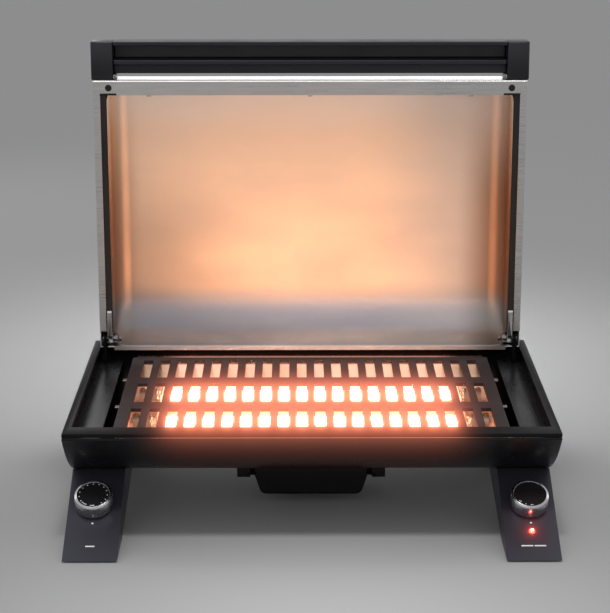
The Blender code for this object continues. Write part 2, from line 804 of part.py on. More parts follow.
def make_hinges(lid):
    pivot = at(HINGE_BACK, HINGE_UP)
    for side, sign in (("left", -1), ("right", 1)):
        low, high = sorted((sign * ARM_X[0], sign * ARM_X[1]))
        eye = arc((0, 0), EYE_R, radians(-60), radians(200), 14)
        neck = [(-0.0100, -0.0024), (-0.0395, -0.0024), (-0.0415, -0.0046)]
        neck += [(-0.0415, -0.0125), (-0.0395, -0.0145), (-0.0060, -0.0145)]
        arm = prism("hinge_arm_" + side, eye + neck, low, high, "steel", lid)
        across = along_x(0, 0, 0)
        hole = round_hole(PIN_R + 0.0001, low - 0.01, high + 0.01, across, "arm_hole_" + side)
        hole.parent = lid
        cut(arm, hole)

        low, high = sorted((sign * BRACKET_X[0], sign * BRACKET_X[1]))
        base = RIM_HEIGHT - 0.022 + GAP
        cheek = arc(pivot, 0.008, radians(-15), radians(195), 14)
        cheek += [(pivot[0] - 0.008, base), (pivot[0] + 0.008, base)]
        plate = prism("hinge_bracket_" + side, cheek, low, high, "enamel")
        place = along_x(0, *pivot)
        hole = round_hole(PIN_R + 0.0001, low - 0.01, high + 0.01, place, "eye_hole_" + side)
        cut(plate, hole)

        dome = [(0, PIN_HEAD_X), (PIN_HEAD_R * 0.60, PIN_HEAD_X + 0.0007)]
        dome += [(PIN_HEAD_R * 0.90, PIN_HEAD_X + 0.0022), (PIN_HEAD_R, PIN_HEAD_X + 0.0042)]
        head = dome + [(PIN_HEAD_R, ARM_X[0] - GAP), (PIN_R, ARM_X[0] - GAP)]
        head += [(PIN_R, BRACKET_X[1] + GAP), (PIN_CAP_R, BRACKET_X[1] + GAP)]
        head += [(PIN_CAP_R, PIN_CAP_X), (0, PIN_CAP_X)]
        profile = [(radius, sign * x) for radius, x in head]
        lathe("hinge_pin_" + side, profile, 20, "knob_metal", place)


# ---------------------------------------------------------------- assembly
def main():
    clear_scene()
    make_tub()
    make_rim()
    make_side_panels()
    make_grate()
    make_reflector()
    make_heaters()
    make_wiring()
    make_inlet()
    make_legs()
    make_control("left", -1, "timer")
    make_control("right", 1, "power")
    make_lamp()
    make_tray()
    lid = empty("lid_hinge", (0, *at(HINGE_BACK, HINGE_UP)), Matrix.Rotation(-LID_OPEN, 3, "X"))
    make_lid(lid)
    make_handle(lid)
    make_hinges(lid)


main()
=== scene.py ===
"""Looks for the electric table grill: materials, finer pieces, studio and camera.

Metres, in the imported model's own frame: the origin is on the table under the grill,
+X to the cook's right, -Y towards the cook. Pieces of the lid are made in lid
coordinates, as if it were closed: X as in the world, Y from the hinge axis (towards
the handle is negative) and Z up from the hinge axis.
"""

import json
from math import cos, pi, radians, sin

import bmesh
import bpy
from mathutils import Matrix, Vector

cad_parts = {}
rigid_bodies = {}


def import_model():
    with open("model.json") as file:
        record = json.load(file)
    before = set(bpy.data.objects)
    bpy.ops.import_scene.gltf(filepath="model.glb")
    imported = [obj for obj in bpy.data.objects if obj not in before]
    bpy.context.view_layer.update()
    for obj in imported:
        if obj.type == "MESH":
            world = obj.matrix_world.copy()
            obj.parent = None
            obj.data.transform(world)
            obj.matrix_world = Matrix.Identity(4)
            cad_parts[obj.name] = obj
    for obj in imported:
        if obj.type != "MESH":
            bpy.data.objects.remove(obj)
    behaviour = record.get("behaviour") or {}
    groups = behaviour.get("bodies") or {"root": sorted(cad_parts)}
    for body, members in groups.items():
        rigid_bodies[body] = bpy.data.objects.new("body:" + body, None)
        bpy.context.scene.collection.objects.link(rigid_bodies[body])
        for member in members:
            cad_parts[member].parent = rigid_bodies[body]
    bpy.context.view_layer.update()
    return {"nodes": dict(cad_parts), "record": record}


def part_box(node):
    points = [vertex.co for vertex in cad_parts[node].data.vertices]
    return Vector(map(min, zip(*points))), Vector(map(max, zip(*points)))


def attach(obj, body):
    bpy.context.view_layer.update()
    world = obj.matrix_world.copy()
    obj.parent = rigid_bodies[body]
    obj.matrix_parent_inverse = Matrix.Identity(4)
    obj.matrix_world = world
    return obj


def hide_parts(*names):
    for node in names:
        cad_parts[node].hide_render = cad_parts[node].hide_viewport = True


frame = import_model()

# ---------------------------------------------------------------- places in the frame
JOINTS = {joint["name"]: joint for joint in frame["record"]["behaviour"]["joints"]}
RIM_LOW, RIM_HIGH = (Vector(corner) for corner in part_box("rim_frame"))
GRATE_HIGH = Vector(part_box("cooking_grate")[1])
RIM_TOP = RIM_HIGH.z
BODY_FRONT = RIM_LOW.y
PIVOT = Vector(JOINTS["lid_hinge"]["pos_m"])
LID_TURN = radians(JOINTS["lid_hinge"]["range_deg"][1])
LID = Matrix.Translation(PIVOT) @ Matrix.Rotation(-LID_TURN, 4, "X")
SIDES = (("left", -1), ("right", 1))
GAP = 0.0003


def knob_frame(joint):
    """The frame of a knob: Z out of the leg's face, Y up along the face."""
    out = Vector(JOINTS[joint]["axis"]).normalized()
    across = Vector((1, 0, 0))
    turn = Matrix((across, out.cross(across), out)).transposed()
    return Matrix.Translation(Vector(JOINTS[joint]["pos_m"])) @ turn.to_4x4()


TIMER = knob_frame("timer_turn")
POWER = knob_frame("power_turn")
KNOB_R = (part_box("timer_knob_ring")[1][0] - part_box("timer_knob_ring")[0][0]) / 2
KNOB_TALL = 0.020
LAMP_DOWN = 0.0416
TUBES = {}
for end in ("front", "rear"):
    low, high = (Vector(corner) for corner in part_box("quartz_tube_" + end))
    TUBES[end] = (low + high) / 2
TUBE_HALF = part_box("quartz_tube_front")[1][0]
TUBE_R = (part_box("quartz_tube_front")[1][2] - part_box("quartz_tube_front")[0][2]) / 2
GLOW_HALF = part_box("filament_front")[1][0]

# the lid's sizes, in lid coordinates
LID_REACH = 0.3512
LID_BEHIND = 0.0109
LID_LIFT = 0.0105
LID_CROWN = 0.0665
LID_WALL = 0.0615
LID_HALF = 0.2840
LID_HALF_INSIDE = 0.2822
FLANGE_IN = 0.2750
FLANGE_HEAD = 0.0194
HANDLE_HALF = 0.286
HANDLE_END = 0.0286
HANDLE_OUT = 0.0501
HANDLE_DEEP = 0.0421
LINER_HALF = 0.2668
LINER_SHEET = 0.0010
LINER_CORNER = 0.022
LINER_REAR_INSET = 0.0019
LIP_BEHIND = 0.0144
PIN_NOTCH_X = 0.2570
PIN_NOTCH = 0.0095

# the camera, from the middle of the body's front edge
CAMERA_BACK = 1.970
CAMERA_UP = 0.725
CAMERA_SIDE = -0.0165
CAMERA_DOWN = radians(16.11)
CAMERA_TURN = -0.0042
CAMERA_LENS = 105.1


# ---------------------------------------------------------------- material building
class Finish:
    """One node material, with short ways to add textures to its Principled shader."""

    def __init__(self, name, colour, roughness, metallic=0.0, **sockets):
        self.material = bpy.data.materials.new(name)
        self.material.use_nodes = True
        self.tree = self.material.node_tree
        self.shader = self.tree.nodes["Principled BSDF"]
        self.shader.inputs["Base Color"].default_value = (*colour, 1.0)
        self.shader.inputs["Roughness"].default_value = roughness
        self.shader.inputs["Metallic"].default_value = metallic
        for socket, value in sockets.items():
            self.shader.inputs[socket.replace("_", " ")].default_value = value
        self.object_place = self.node("ShaderNodeTexCoord").outputs["Object"]

    def node(self, kind, **settings):
        made = self.tree.nodes.new(kind)
        for key, value in settings.items():
            setattr(made, key, value)
        return made

    def put(self, source, socket):
        self.tree.links.new(source, self.shader.inputs[socket])

    def scaled(self, scale, turn=(0, 0, 0)):
        """Object coordinates, turned and stretched for a texture."""
        mapping = self.node("ShaderNodeMapping")
        mapping.inputs["Rotation"].default_value = turn
        mapping.inputs["Scale"].default_value = scale
        self.tree.links.new(self.object_place, mapping.inputs["Vector"])
        return mapping.outputs["Vector"]

    def noise(self, scale, detail=3.0, roughness=0.55):
        """Noise, from 0 to 1, with a number or a three-way stretch as its scale."""
        stretch = scale if isinstance(scale, tuple) else (scale, scale, scale)
        texture = self.node("ShaderNodeTexNoise")
        texture.inputs["Scale"].default_value = 1.0
        texture.inputs["Detail"].default_value = detail
        texture.inputs["Roughness"].default_value = roughness
        self.tree.links.new(self.scaled(stretch), texture.inputs["Vector"])
        return texture.outputs["Fac"]

    def math(self, operation, first, second=0.0, clamp=False):
        step = self.node("ShaderNodeMath", operation=operation, use_clamp=clamp)
        for socket, value in zip(step.inputs, (first, second)):
            if isinstance(value, (int, float)):
                socket.default_value = value
            else:
                self.tree.links.new(value, socket)
        return step.outputs["Value"]

    def spread(self, value, low, high, to_low=0.0, to_high=1.0, smooth=False):
        """Maps a value's stretch from low to high onto another stretch."""
        step = self.node("ShaderNodeMapRange")
        if smooth:
            step.interpolation_type = "SMOOTHSTEP"
        for socket, number in zip(list(step.inputs)[1:5], (low, high, to_low, to_high)):
            socket.default_value = number
        self.tree.links.new(value, step.inputs["Value"])
        return step.outputs["Result"]

    def axis(self, name):
        """One object coordinate."""
        step = self.node("ShaderNodeSeparateXYZ")
        self.tree.links.new(self.object_place, step.inputs["Vector"])
        return step.outputs[name]

    def mixed(self, factor, first, second):
        step = self.node("ShaderNodeMix", data_type="RGBA")
        self.tree.links.new(factor, step.inputs["Factor"])
        for socket, value in ((step.inputs[6], first), (step.inputs[7], second)):
            if isinstance(value, tuple):
                socket.default_value = (*value, 1.0)
            else:
                self.tree.links.new(value, socket)
        return step.outputs[2]

    def bump(self, height, distance, strength=1.0):
        step = self.node("ShaderNodeBump")
        step.inputs["Distance"].default_value = distance
        step.inputs["Strength"].default_value = strength
        self.tree.links.new(height, step.inputs["Height"])
        self.put(step.outputs["Normal"], "Normal")


def brushed(name, colour, roughness, grain, strength=0.25, spot=0.04):
    """Brushed steel, its scratches long where the grain's scale is small."""
    finish = Finish(name, colour, roughness, 1.0)
    lines = finish.noise(grain, 4.0, 0.7)
    clouds = finish.noise(9.0, 3.0)
    rough = finish.math("ADD", finish.spread(lines, 0.3, 0.7, -0.05, 0.05), roughness)
    rough = finish.math("ADD", finish.spread(clouds, 0.3, 0.7, -spot, spot), rough)
    finish.put(rough, "Roughness")
    darker = tuple(part * 0.86 for part in colour)
    finish.put(finish.mixed(finish.spread(lines, 0.35, 0.65), darker, colour), "Base Color")
    finish.bump(lines, 0.00004, strength)
    return finish


def liner_steel():
    """The lid's satin inside, with light painted into its colour: pale at its foot, straw over a
    band that is partly a real heat tint and partly a painted glow of the tubes, browner painted
    shade at the sides.
    """
    finish = Finish("liner steel", (0.70, 0.66, 0.62), 0.42, 0.86)
    lines = finish.noise((16.0, 700.0, 700.0), 4.0, 0.65)
    clouds = finish.noise((7.0, 16.0, 16.0), 4.0)
    rough = finish.math("ADD", finish.spread(lines, 0.3, 0.7, -0.03, 0.03), 0.42)
    rough = finish.math("ADD", finish.spread(clouds, 0.3, 0.7, -0.05, 0.05), rough)
    finish.put(rough, "Roughness")

    straw, peach = (0.90, 0.72, 0.56), (0.98, 0.76, 0.57)
    pale, dull, head = (1.0, 1.0, 1.0), (0.56, 0.545, 0.60), (1.0, 0.95, 0.89)
    across, up = finish.axis("X"), finish.axis("Z")
    height = finish.math("ADD", up, finish.spread(clouds, 0.3, 0.7, -0.006, 0.006))
    # painted reflection by height: pale at the foot and a dull lilac grey above it
    foot = finish.mixed(finish.spread(height, 0.140, 0.168, 0.0, 1.0, True), pale, dull)
    # a warm band, partly a real heat tint and partly the tubes' glow painted in
    tint_and_glow_band = finish.spread(height, 0.192, 0.224, 0.0, 1.0, True)
    warm = finish.mixed(finish.spread(clouds, 0.35, 0.7), peach, straw)
    colour = finish.mixed(tint_and_glow_band, foot, warm)
    # lighter towards the top
    lighter_top = finish.spread(height, 0.42, 0.51, 0.0, 1.0, True)
    colour = finish.mixed(lighter_top, colour, head)

    # painted shade: the left half is darker low down, the right is greyer, and both edges are a
    # brown painted shade, fading upwards
    wide = finish.spread(across, -0.24, -0.02, 1.0, 0.34, True)
    deep = finish.spread(up, 0.25, 0.42, 0.48, 0.0, True)
    deep = finish.math("MULTIPLY", deep, finish.spread(up, 0.135, 0.165, 0.3, 1.0))
    shade = finish.mixed(tint_and_glow_band, (0.06, 0.06, 0.06), (0.25, 0.13, 0.08))
    colour = finish.mixed(finish.math("MULTIPLY", wide, deep), colour, shade)
    greyer = finish.spread(across, 0.06, 0.20, 0.0, 0.5, True)
    colour = finish.mixed(greyer, colour, (0.62, 0.59, 0.57))
    left = finish.spread(across, -0.268, -0.225, 1.0, 0.0, True)
    right = finish.spread(across, 0.198, 0.256, 0.0, 1.0, True)
    edge_shade_colour = finish.mixed(tint_and_glow_band, (0.30, 0.28, 0.26), (0.40, 0.22, 0.13))
    edges = finish.math("MAXIMUM", finish.math("MULTIPLY", left, 0.75), right)
    fade = finish.spread(up, 0.33, 0.49, 1.0, 0.30, True)
    edges = finish.math("MULTIPLY", edges, fade)
    finish.put(finish.mixed(edges, colour, edge_shade_colour), "Base Color")
    finish.bump(lines, 0.00002, 0.2)
    return finish.material


def enamel():
    """Black powder coat: a slight orange peel and a few cleaner and duller areas."""
    finish = Finish("black enamel", (0.006, 0.006, 0.007), 0.4, Specular_IOR_Level=0.12)
    finish.put(finish.spread(finish.noise(14.0), 0.3, 0.7, 0.34, 0.48), "Roughness")
    finish.bump(finish.noise(900.0, 2.0), 0.00003, 0.2)
    return finish.material


def trough_enamel():
    """The same black on the trough, a little glossier."""
    finish = Finish("trough enamel", (0.005, 0.005, 0.006), 0.3, Specular_IOR_Level=0.3)
    finish.put(finish.spread(finish.noise(14.0), 0.3, 0.7, 0.24, 0.34), "Roughness")
    finish.bump(finish.noise(900.0, 2.0), 0.00003, 0.15)
    return finish.material


def panel_enamel():
    """The flat panels beside the grate: the same black, rubbed smoother, and paler as a painted
    sheen.
    """
    # painted sheen: a paler copy of the black enamel
    finish = Finish("panel enamel", (0.020, 0.020, 0.022), 0.3, Specular_IOR_Level=0.14)
    smear = finish.noise((60.0, 7.0, 7.0), 4.0)
    finish.put(finish.spread(smear, 0.3, 0.7, 0.2, 0.34), "Roughness")
    finish.bump(finish.noise(700.0, 2.0), 0.00005, 0.3)
    return finish.material


def leg_paint():
    """Satin charcoal with a fine metallic grain, slightly violet in the light."""
    finish = Finish("leg paint", (0.06, 0.06, 0.075), 0.42, 0.55)
    grain = finish.noise(2600.0, 2.0)
    pale, dark = (0.082, 0.081, 0.102), (0.050, 0.049, 0.062)
    finish.put(finish.mixed(finish.spread(grain, 0.35, 0.65), dark, pale), "Base Color")
    finish.put(finish.spread(finish.noise(30.0), 0.3, 0.7, 0.36, 0.48), "Roughness")
    finish.bump(grain, 0.00003, 0.4)
    return finish.material


def grate_iron():
    """Dark seasoned iron, with a painted dull red glow just in front of each tube for the tubes'
    light on it.
    """
    forward, reach, strength = 0.045, 0.085, 0.42
    finish = Finish("seasoned iron", (0.05, 0.045, 0.045), 0.5, 0.35)
    blotch = finish.noise(35.0, 5.0)
    dark, warm = (0.022, 0.018, 0.020), (0.052, 0.034, 0.036)
    finish.put(finish.mixed(finish.spread(blotch, 0.35, 0.7), dark, warm), "Base Color")
    finish.put(finish.spread(blotch, 0.3, 0.7, 0.38, 0.6), "Roughness")
    finish.bump(finish.noise(500.0, 4.0), 0.00012, 0.5)
    # painted light: emission standing in for the tubes' glow falling on the iron
    along = finish.math("ABSOLUTE", finish.axis("X"))
    ends = finish.spread(along, GLOW_HALF - 0.04, GLOW_HALF + 0.03, 1.0, 0.0, True)
    back = finish.axis("Y")
    near_tubes = None
    for place in TUBES.values():
        away = finish.math("ABSOLUTE", finish.math("SUBTRACT", back, place.y - forward))
        near = finish.spread(away, 0.0, reach, 1.0, 0.0, True)
        near_tubes = near if near_tubes is None else finish.math("MAXIMUM", near_tubes, near)
    painted_glow = finish.math("MULTIPLY", near_tubes, ends)
    finish.put(finish.math("MULTIPLY", painted_glow, strength), "Emission Strength")
    finish.shader.inputs["Emission Color"].default_value = (0.80, 0.17, 0.11, 1.0)
    return finish.material


def hot_steel():
    """The reflector's steel, gone straw and bronze, with the tubes' light and their images in it
    painted on as glow.
    """
    finish = Finish("heat-tinted steel", (0.7, 0.6, 0.45), 0.28, 1.0)
    tint = finish.noise((9.0, 25.0, 25.0), 4.0)
    straw, bronze = (0.90, 0.66, 0.48), (0.66, 0.40, 0.24)
    finish.put(finish.mixed(finish.spread(tint, 0.35, 0.65), straw, bronze), "Base Color")
    finish.put(finish.spread(finish.noise(60.0, 4.0), 0.3, 0.7, 0.2, 0.38), "Roughness")
    # painted light: emission for the tubes' light on the steel, brighter in bands where their
    # images are painted
    along = finish.math("ABSOLUTE", finish.axis("X"))
    lit = finish.spread(along, GLOW_HALF - 0.02, GLOW_HALF + 0.020, 1.0, 0.10, True)
    back = finish.axis("Y")
    painted_light_level, painted_image_level = 0.66, 2.6
    strength = painted_light_level
    for place in TUBES.values():
        rise = finish.spread(back, place.y + 0.044, place.y + 0.052, 0.0, painted_image_level, True)
        fall = finish.spread(back, place.y + 0.062, place.y + 0.070, 1.0, 0.0, True)
        strength = finish.math("ADD", finish.math("MULTIPLY", rise, fall), strength)
    lit = finish.math("MULTIPLY", lit, strength)
    lit = finish.math("MULTIPLY", lit, finish.spread(back, 0.160, 0.173, 1.0, 0.0, True))
    finish.put(lit, "Emission Strength")
    finish.shader.inputs["Emission Color"].default_value = (1.0, 0.46, 0.32, 1.0)
    finish.bump(finish.noise(180.0, 4.0), 0.0002, 0.3)
    return finish.material


def glowing(name, colour, strength, fade):
    """A surface that glows over the heated length and is dark beyond it."""
    finish = Finish(name, (0.75, 0.72, 0.68), 0.15)
    along = finish.math("ABSOLUTE", finish.axis("X"))
    lit = finish.spread(along, GLOW_HALF - fade, GLOW_HALF + 0.002, 1.0, 0.0, True)
    finish.put(finish.math("MULTIPLY", lit, strength), "Emission Strength")
    finish.shader.inputs["Emission Color"].default_value = (*colour, 1.0)
    return finish


def quartz():
    finish = glowing("quartz", (1.0, 0.66, 0.46), 50.0, 0.02)
    finish.shader.inputs["Alpha"].default_value = 0.6
    return finish.material


def plastic(name, colour, roughness, grain=1400.0, depth=0.00006):
    """Moulded plastic with a fine spark-eroded texture."""
    finish = Finish(name, colour, roughness)
    fine = finish.noise(grain, 2.0)
    spread = finish.spread(finish.noise(22.0), 0.3, 0.7, roughness - 0.06, roughness + 0.06)
    finish.put(spread, "Roughness")
    finish.bump(fine, depth, 0.5)
    return finish.material


def ceramic():
    finish = Finish("steatite ceramic", (0.82, 0.76, 0.62), 0.55)
    specks = finish.spread(finish.noise(220.0, 4.0), 0.4, 0.65)
    finish.put(finish.mixed(specks, (0.84, 0.79, 0.66), (0.70, 0.60, 0.42)), "Base Color")
    finish.bump(finish.noise(600.0, 3.0), 0.0001, 0.4)
    return finish.material


def turned_metal():
    """Satin turned aluminium for the knobs' rings."""
    finish = Finish("turned aluminium", (0.50, 0.50, 0.51), 0.27, 1.0)
    rings = finish.noise((60.0, 900.0, 900.0), 3.0)
    finish.put(finish.spread(rings, 0.3, 0.7, 0.2, 0.34), "Roughness")
    finish.bump(rings, 0.00003, 0.3)
    return finish.material


def lamp_red():
    finish = Finish("lamp lens", (0.8, 0.03, 0.02), 0.15, Emission_Strength=14.0)
    finish.shader.inputs["Emission Color"].default_value = (1.0, 0.035, 0.02, 1.0)
    finish.bump(finish.noise(400.0), 0.0001, 0.2)
    return finish.material


def lamp_core():
    finish = Finish("lamp core", (1.0, 0.6, 0.5), 0.3, Emission_Strength=60.0)
    finish.shader.inputs["Emission Color"].default_value = (1.0, 0.42, 0.30, 1.0)
    return finish.material


MATERIALS = {
    "enamel": enamel(),
    "trough": trough_enamel(),
    "panel": panel_enamel(),
    "leg": leg_paint(),
    "grate": grate_iron(),
    "hot_steel": hot_steel(),
    "quartz": quartz(),
    "filament": glowing("filament", (1.0, 0.70, 0.42), 200.0, 0.004).material,
    "ceramic": ceramic(),
    "liner": liner_steel(),
    "shell": brushed("outer steel", (0.90, 0.89, 0.87), 0.3, (14.0, 900.0, 900.0)).material,
    "flange": brushed("flange steel", (0.66, 0.65, 0.63), 0.3, (20.0, 900.0, 900.0)).material,
    "arm": brushed("arm steel", (0.85, 0.83, 0.80), 0.2, (900.0, 900.0, 40.0)).material,
    "screw": brushed("screw steel", (0.30, 0.30, 0.31), 0.18, (300.0, 300.0, 300.0)).material,
    "brass": brushed("brass", (0.75, 0.58, 0.28), 0.3, (300.0, 300.0, 300.0)).material,
    "ring": turned_metal(),
    "handle": plastic("handle plastic", (0.006, 0.006, 0.009), 0.36),
    "black": plastic("black plastic", (0.014, 0.014, 0.014), 0.38),
    "cap": plastic("knob cap", (0.010, 0.010, 0.011), 0.3, 2200.0, 0.00002),
    "rubber": plastic("rubber", (0.012, 0.012, 0.012), 0.75, 500.0, 0.00015),
    "print": plastic("white print", (0.82, 0.82, 0.82), 0.5),
    "lamp": lamp_red(),
    "lamp_core": lamp_core(),
}


def paint(node, finish):
    """Gives a CAD node its finish without touching its shape."""
    for place in frame["nodes"][node].material_slots:
        place.material = MATERIALS[finish]


# ---------------------------------------------------------------- mesh building
def piece(name, bm, finish, body, stands_for=(), smooth_below=35):
    """Turns a bmesh into a piece that rides on a body."""
    bmesh.ops.recalc_face_normals(bm, faces=bm.faces)
    mesh = bpy.data.meshes.new(name)
    bm.to_mesh(mesh)
    bm.free()
    mesh.shade_smooth()
    mesh.set_sharp_from_angle(angle=radians(smooth_below))
    mesh.materials.append(MATERIALS[finish])
    made = bpy.data.objects.new(name, mesh)
    bpy.context.scene.collection.objects.link(made)
    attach(made, body)
    if stands_for:
        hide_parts(*stands_for)
    return made


def soften(made, width, segments=3, angle=30):
    """Rounds a piece's edges."""
    step = made.modifiers.new("soft edges", "BEVEL")
    step.width = width
    step.segments = segments
    step.limit_method = "ANGLE"
    step.angle_limit = radians(angle)
    step.harden_normals = True
    return made


def refined(node, finish, body, width, segments=3, angle=30):
    """A piece with a CAD node's own shape and softly rounded edges."""
    bm = bmesh.new()
    bm.from_mesh(frame["nodes"][node].data)
    bmesh.ops.remove_doubles(bm, verts=bm.verts, dist=0.00001)
    flat = radians(0.5)
    bmesh.ops.dissolve_limit(bm, angle_limit=flat, verts=bm.verts, edges=bm.edges)
    made = piece(node + "_fine", bm, finish, body, [node])
    return soften(made, width, segments, angle)


def add_lathe(bm, profile, segments, place=Matrix.Identity(4)):
    """Adds a (radius, height) profile turned about local Z, closed if it leaves the axis."""
    rings = []
    for radius, height in profile:
        if radius == 0:
            rings.append([bm.verts.new(place @ Vector((0, 0, height)))] * segments)
            continue
        turns = [2 * pi * k / segments for k in range(segments)]
        corners = [Vector((radius * cos(t), radius * sin(t), height)) for t in turns]
        rings.append([bm.verts.new(place @ corner) for corner in corners])
    closed = all(radius > 0 for radius, _ in profile)
    for a, b in zip(rings, rings[1:] + (rings[:1] if closed else [])):
        for k in range(segments):
            n = (k + 1) % segments
            corners = [a[k], a[n], b[n], b[k]]
            unique = [c for i, c in enumerate(corners) if c not in corners[:i]]
            bm.faces.new(unique)


def add_block(bm, low, high, place=Matrix.Identity(4)):
    size = [h - l for l, h in zip(low, high)]
    middle = Vector([(h + l) / 2 for l, h in zip(low, high)])
    shape = Matrix.Translation(middle) @ Matrix.Diagonal((*size, 1.0))
    bmesh.ops.create_cube(bm, size=1.0, matrix=place @ shape)


def add_solid(bm, near, far):
    """Adds the solid between two matching rings of points."""
    near, far = ([bm.verts.new(point) for point in ring] for ring in (near, far))
    bm.faces.new(near)
    bm.faces.new(list(reversed(far)))
    for i in range(len(near)):
        j = (i + 1) % len(near)
        bm.faces.new((near[i], far[i], far[j], near[j]))


def arc(centre, radius, start, end, steps):
    turns = [start + (end - start) * i / steps for i in range(steps + 1)]
    return [(centre[0] + radius * cos(t), centre[1] + radius * sin(t)) for t in turns]


def along_x(place):
    """A frame whose Z runs along world +X from a point."""
    return Matrix.Translation(place) @ Matrix.Rotation(pi / 2, 4, "Y")


# ---------------------------------------------------------------- body
def dress_body():
    refined("tub_shell", "trough", "body", 0.0014, 4)
    refined("rim_frame", "enamel", "body", 0.0012, 3, 20)
    for side, _ in SIDES:
        refined("side_panel_" + side, "panel", "body", 0.0006)
        refined("tray_rail_" + side, "enamel", "body", 0.0008)
        refined("hinge_bracket_" + side, "enamel", "body", 0.0005)
        for end in ("front", "rear"):
            name = end + "_" + side
            refined("leg_" + name, "leg", "body", 0.0011)
            refined("leg_cover_" + name, "black", "body", 0.0005)
            refined("foot_pad_" + name, "rubber", "body", 0.0004)
    refined("cooking_grate", "grate", "body", 0.0008)
    refined("reflector_pan", "hot_steel", "body", 0.0004)
    refined("power_inlet", "black", "body", 0.0008)
    refined("terminal_block", "ceramic", "body", 0.0008)
    paint("thermal_cutout", "brass")
    for owner in ("timer", "power"):
        paint(owner + "_case", "black")
        paint(owner + "_bush", "brass")
        paint(owner + "_shaft", "arm")


def make_inlet_pins():
    """Three flat blades in the inlet's socket."""
    low, high = (Vector(corner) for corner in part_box("power_inlet"))
    middle_x, middle_z = (low.x + high.x) / 2, (low.z + high.z) / 2 - 0.003
    bm = bmesh.new()
    for x, z in ((-0.007, -0.002), (0.007, -0.002), (0.0, 0.003)):
        corner = (middle_x + x - 0.001, high.y - 0.0118, middle_z + z - 0.002)
        far = (middle_x + x + 0.001, high.y - 0.003, middle_z + z + 0.002)
        add_block(bm, corner, far)
    soften(piece("inlet_pins", bm, "brass", "body"), 0.0004)


# ---------------------------------------------------------------- heaters
def make_tubes():
    for end, centre in TUBES.items():
        pinch = 0.006
        outer = [(TUBE_R * 0.72, -TUBE_HALF), (TUBE_R, -TUBE_HALF + pinch)]
        outer += [(TUBE_R, TUBE_HALF - pinch), (TUBE_R * 0.72, TUBE_HALF)]
        inner = [(radius - 0.0012, height) for radius, height in reversed(outer)]
        bm = bmesh.new()
        add_lathe(bm, outer + inner, 32, along_x(centre))
        name = "quartz_tube_" + end
        tube = piece(name + "_fine", bm, "quartz", "body", [name])
        tube.visible_glossy = False
        make_coil(end, centre)


def make_coil(end, centre):
    """The heating wire: a close coil along the tube's heated length."""
    turns, steps, radius, wire = 130, 8, 0.0023, 0.0004
    curve = bpy.data.curves.new("coil_" + end, "CURVE")
    curve.dimensions = "3D"
    curve.bevel_depth = wire
    curve.bevel_resolution = 1
    curve.use_fill_caps = True
    line = curve.splines.new("POLY")
    count = turns * steps + 1
    line.points.add(count - 1)
    half = GLOW_HALF - wire
    for i, point in enumerate(line.points):
        turn = 2 * pi * i / steps
        x = -half + 2 * half * i / (count - 1)
        y, z = radius * cos(turn), radius * sin(turn)
        point.co = (centre.x + x, centre.y + y, centre.z + z, 1.0)
    curve.materials.append(MATERIALS["filament"])
    made = bpy.data.objects.new("filament_coil_" + end, curve)
    bpy.context.scene.collection.objects.link(made)
    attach(made, "body")
    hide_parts("filament_" + end)
    made.visible_glossy = False


def make_tube_ends():
    """Grooved ceramic caps with a screw terminal, and the heater brackets with softened edges."""
    for end, centre in TUBES.items():
        for side, sign in SIDES:
            node = f"ceramic_cap_{end}_{side}"
            low, high = (Vector(corner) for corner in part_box(node))
            radius = (high.z - low.z) / 2
            start, stop = low.x, high.x
            length = stop - start
            profile = [(0, start), (radius - 0.0006, start), (radius, start + 0.0008)]
            for share in (0.30, 0.48):
                mark = start + length * share
                profile += [(radius, mark), (radius - 0.0012, mark + 0.0006)]
                profile += [(radius - 0.0012, mark + 0.0014), (radius, mark + 0.0020)]
            profile += [(radius, stop - 0.0008), (radius - 0.0006, stop), (0, stop)]
            bm = bmesh.new()
            add_lathe(bm, profile, 28, along_x((0, centre.y, centre.z)))
            piece(node + "_fine", bm, "ceramic", "body", [node])
            bm = bmesh.new()
            mark = stop - 0.004 if sign > 0 else start + 0.004
            lug = Matrix.Translation((mark, centre.y, centre.z + radius))
            add_lathe(bm, [(0, -0.001), (0.0026, -0.001), (0.0026, 0.0012), (0, 0.0018)], 16, lug)
            piece(node + "_terminal", bm, "brass", "body")
    for side, _ in SIDES:
        refined("heater_bracket_" + side, "hot_steel", "body", 0.0004)


# ---------------------------------------------------------------- lid
def liner_line(inset):
    """The liner's skin in side view, from its front foot to its rear foot."""
    front = -LID_REACH + 0.006 + inset
    rear = LID_BEHIND - LINER_REAR_INSET - inset * 0.3
    foot = -LID_LIFT + 0.0015
    wall = LID_WALL - 0.006 - inset
    bow = LID_CROWN - LID_WALL
    nose = 0.015 - inset * 0.3
    tail = 0.060 - inset
    line = [(front, foot)]
    line += arc((front + nose, foot + wall - nose), nose, pi, pi / 2, 10)
    span = (rear - tail) - (front + nose)
    for i in range(1, 12):
        share = i / 12
        line.append((front + nose + span * share, foot + wall + 4 * bow * share * (1 - share)))
    for i in range(17):
        turn = pi / 2 * (1 - i / 16)
        line.append((rear - tail + tail * cos(turn), foot + wall * sin(turn)))
    return line


